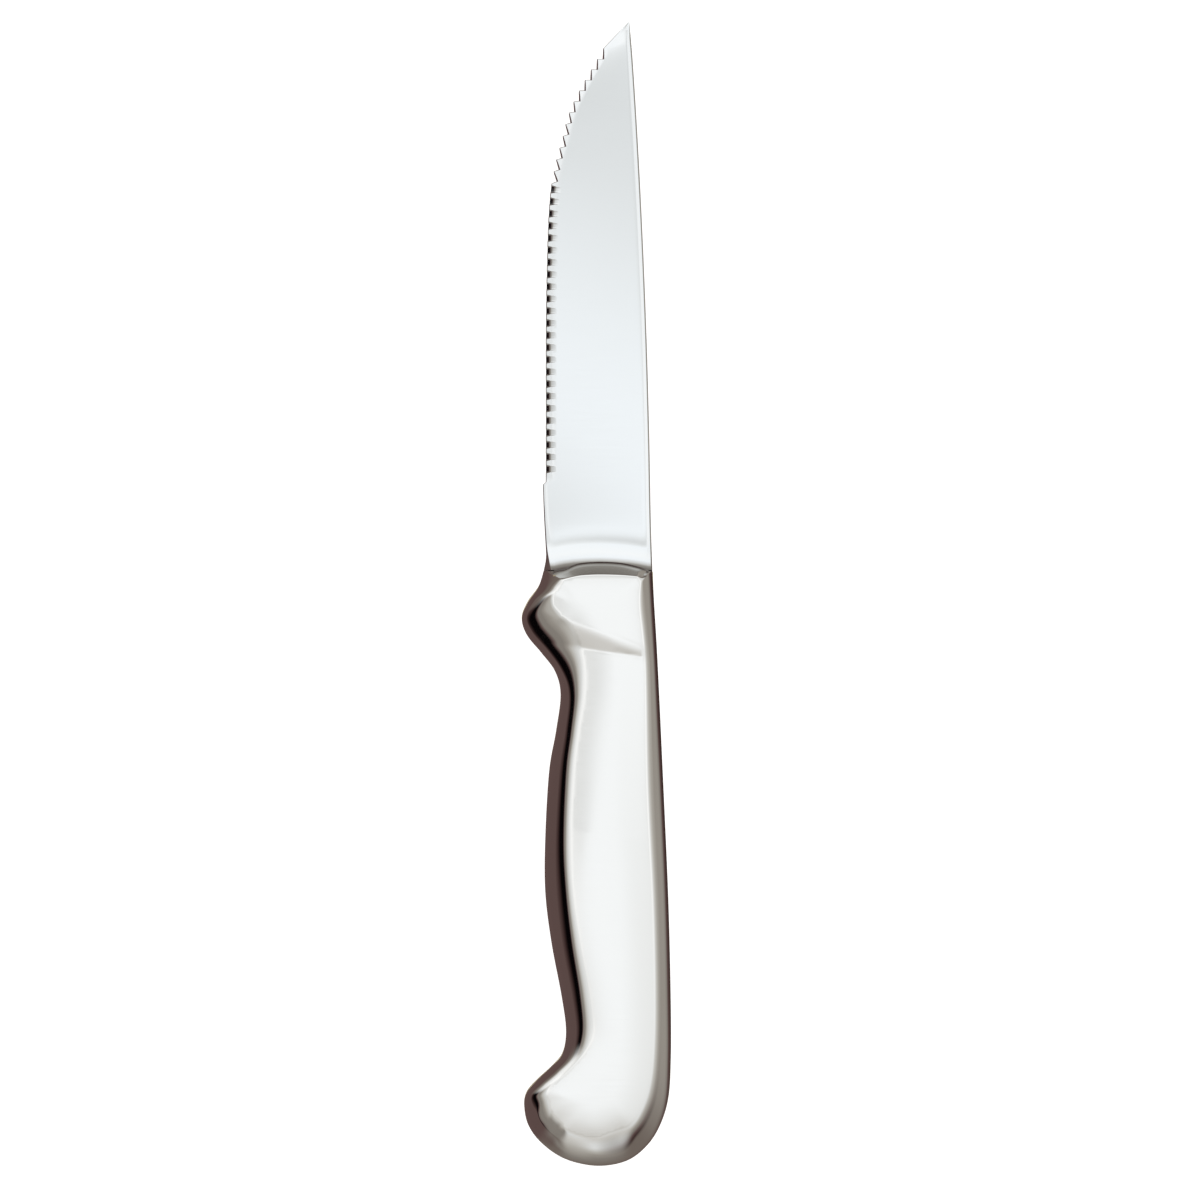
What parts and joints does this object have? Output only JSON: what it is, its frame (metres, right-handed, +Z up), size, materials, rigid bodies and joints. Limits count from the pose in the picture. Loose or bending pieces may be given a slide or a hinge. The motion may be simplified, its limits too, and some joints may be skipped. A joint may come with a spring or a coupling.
{
  "type": "steak knife",
  "caption": "Steak knife with a serrated, clip-pointed blade and forged bolster, set in a polished hollow steel handle with a finger guard, a curved waist and a hooked butt.",
  "frame": {"origin": "centre of the bounding box's underside; the knife lies on its side and rests on the flat face of its handle", "axes": "+Y along the knife towards the tip, +X towards the spine (the edge and the guard are at -X), +Z up, out of the face that the scallops are ground into"},
  "size_m": [0.0294, 0.2254, 0.013],
  "materials": {
    "blade_steel": "forged stainless steel, ground and finely polished",
    "handle_steel": "stamped stainless steel sheet, buffed to a mirror",
    "silver_solder": "silver solder, ground flush and buffed with the handle",
    "cement": "set cement, dull and grainy"
  },
  "bodies": {
    "root": {"blade": "blade_steel", "front_half_shell": "handle_steel", "back_half_shell": "handle_steel", "seam_solder": "silver_solder", "tang_cement": "cement"}
  },
  "joints": []
}
